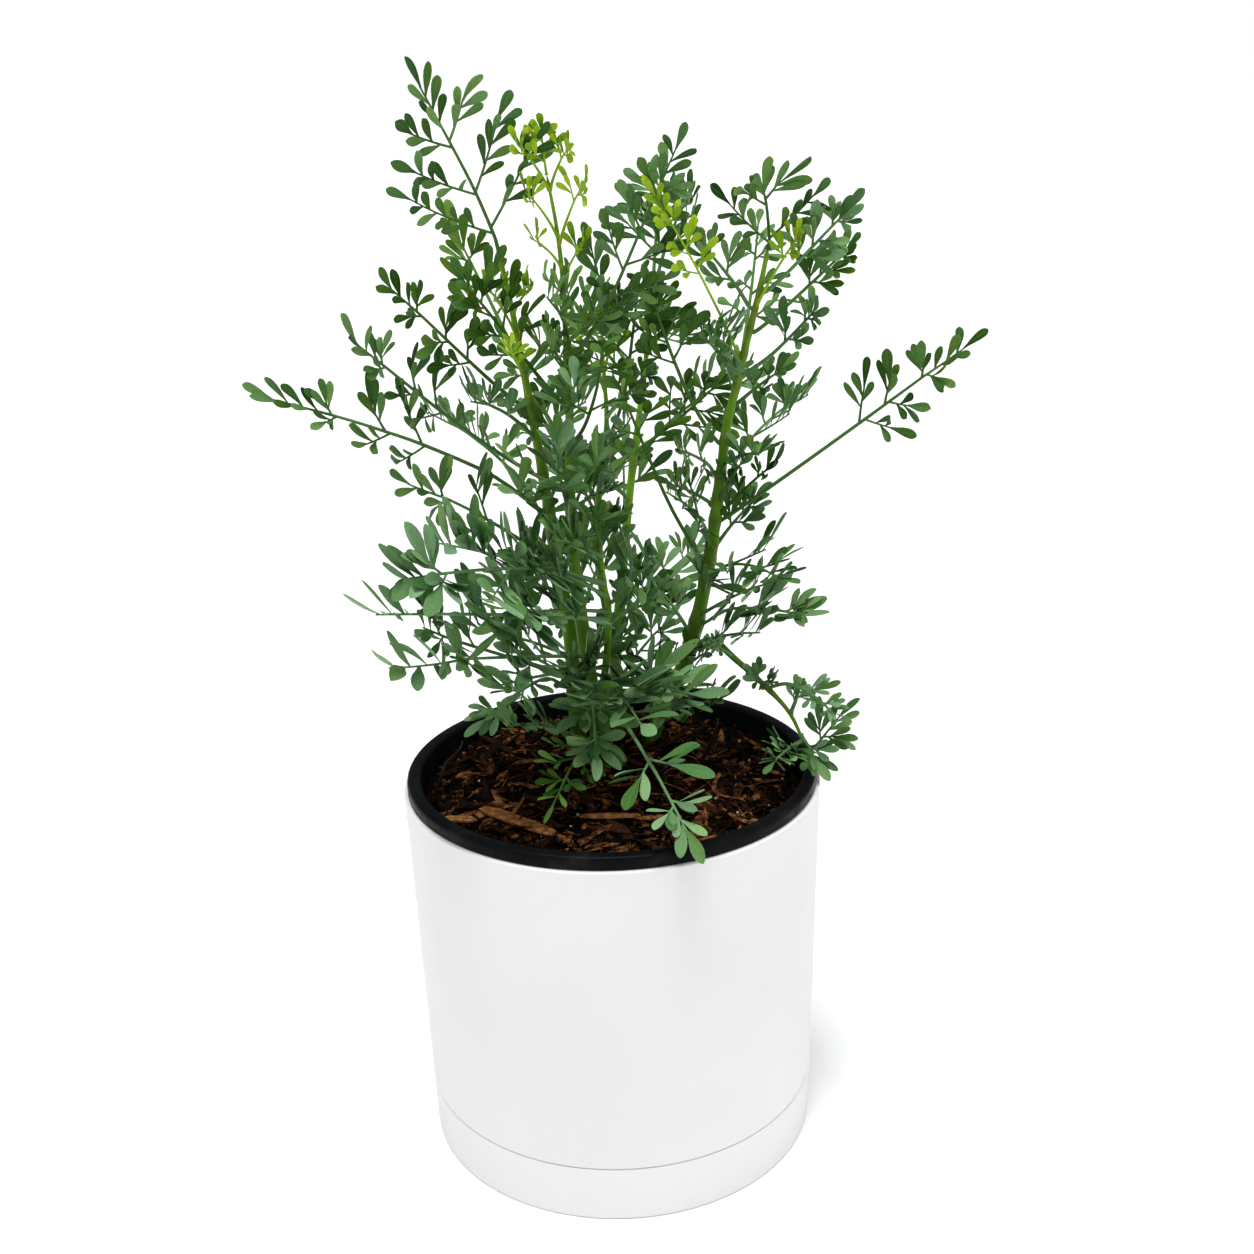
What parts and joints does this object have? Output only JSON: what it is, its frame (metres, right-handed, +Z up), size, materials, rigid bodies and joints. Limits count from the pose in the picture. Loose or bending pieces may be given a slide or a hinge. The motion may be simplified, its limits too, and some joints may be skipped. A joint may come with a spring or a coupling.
{
  "type": "potted rue plant",
  "caption": "Bushy herb with divided blue-green leaves on upright green canes, in a lipped grower's pot inside a tapered white planter on a flush saucer.",
  "frame": {"origin": "centre of the saucer's flat underside", "axes": "+Z up along the pots' axis, +Y towards the back of the plant, +X to the right seen from the front"},
  "size_m": [0.2978, 0.2411, 0.4642],
  "materials": {
    "white_plastic": "satin white moulded plastic",
    "black_plastic": "satin blue-black moulded plastic, lightly scuffed",
    "potting_mix": "damp dark brown bark and fibre mix",
    "bark": "rough reddish brown splinter",
    "green_cane": "smooth satin green stem",
    "leaf": "matte waxy blue-green leaf",
    "young_leaf": "matte yellow-green young leaf"
  },
  "bodies": {
    "root": {"saucer": "white_plastic", "planter": "white_plastic", "nursery_pot": "black_plastic", "potting_mix": "potting_mix", "bark_chip_01": "bark", "bark_chip_02": "bark", "bark_chip_03": "bark", "left_cane": "green_cane", "middle_cane": "green_cane", "inner_cane": "green_cane", "front_cane": "green_cane", "right_cane": "green_cane", "back_cane": "green_cane", "low_branch": "green_cane", "left_cane_leaf_01": "leaf", "left_cane_leaf_02": "leaf", "left_cane_leaf_03": "leaf", "left_cane_leaf_04": "leaf", "left_cane_leaf_05": "leaf", "left_cane_leaf_06": "leaf", "left_cane_leaf_07": "leaf", "left_cane_leaf_08": "leaf", "middle_cane_leaf_01": "leaf", "middle_cane_leaf_02": "leaf", "middle_cane_leaf_03": "young_leaf", "middle_cane_leaf_04": "leaf", "middle_cane_leaf_05": "leaf", "middle_cane_leaf_06": "leaf", "middle_cane_leaf_07": "leaf", "middle_cane_leaf_08": "leaf", "inner_cane_leaf_01": "young_leaf", "inner_cane_leaf_02": "leaf", "inner_cane_leaf_03": "leaf", "front_cane_leaf_01": "leaf", "front_cane_leaf_02": "leaf", "front_cane_leaf_03": "leaf", "front_cane_leaf_04": "leaf", "front_cane_leaf_05": "leaf", "right_cane_leaf_01": "leaf", "right_cane_leaf_02": "leaf", "right_cane_leaf_03": "leaf", "right_cane_leaf_04": "leaf", "right_cane_leaf_05": "leaf", "right_cane_leaf_06": "leaf", "right_cane_leaf_07": "young_leaf", "right_cane_leaf_08": "leaf", "right_cane_leaf_09": "leaf", "right_cane_leaf_10": "leaf", "right_cane_leaf_11": "leaf", "right_cane_leaf_12": "leaf", "right_cane_leaf_13": "leaf", "right_cane_leaf_14": "leaf", "right_cane_leaf_15": "leaf", "right_cane_leaf_16": "leaf", "back_cane_leaf_01": "leaf", "back_cane_leaf_02": "leaf", "back_cane_leaf_03": "leaf", "back_cane_leaf_04": "leaf", "low_branch_leaf_01": "leaf", "low_branch_leaf_02": "leaf"}
  },
  "joints": []
}
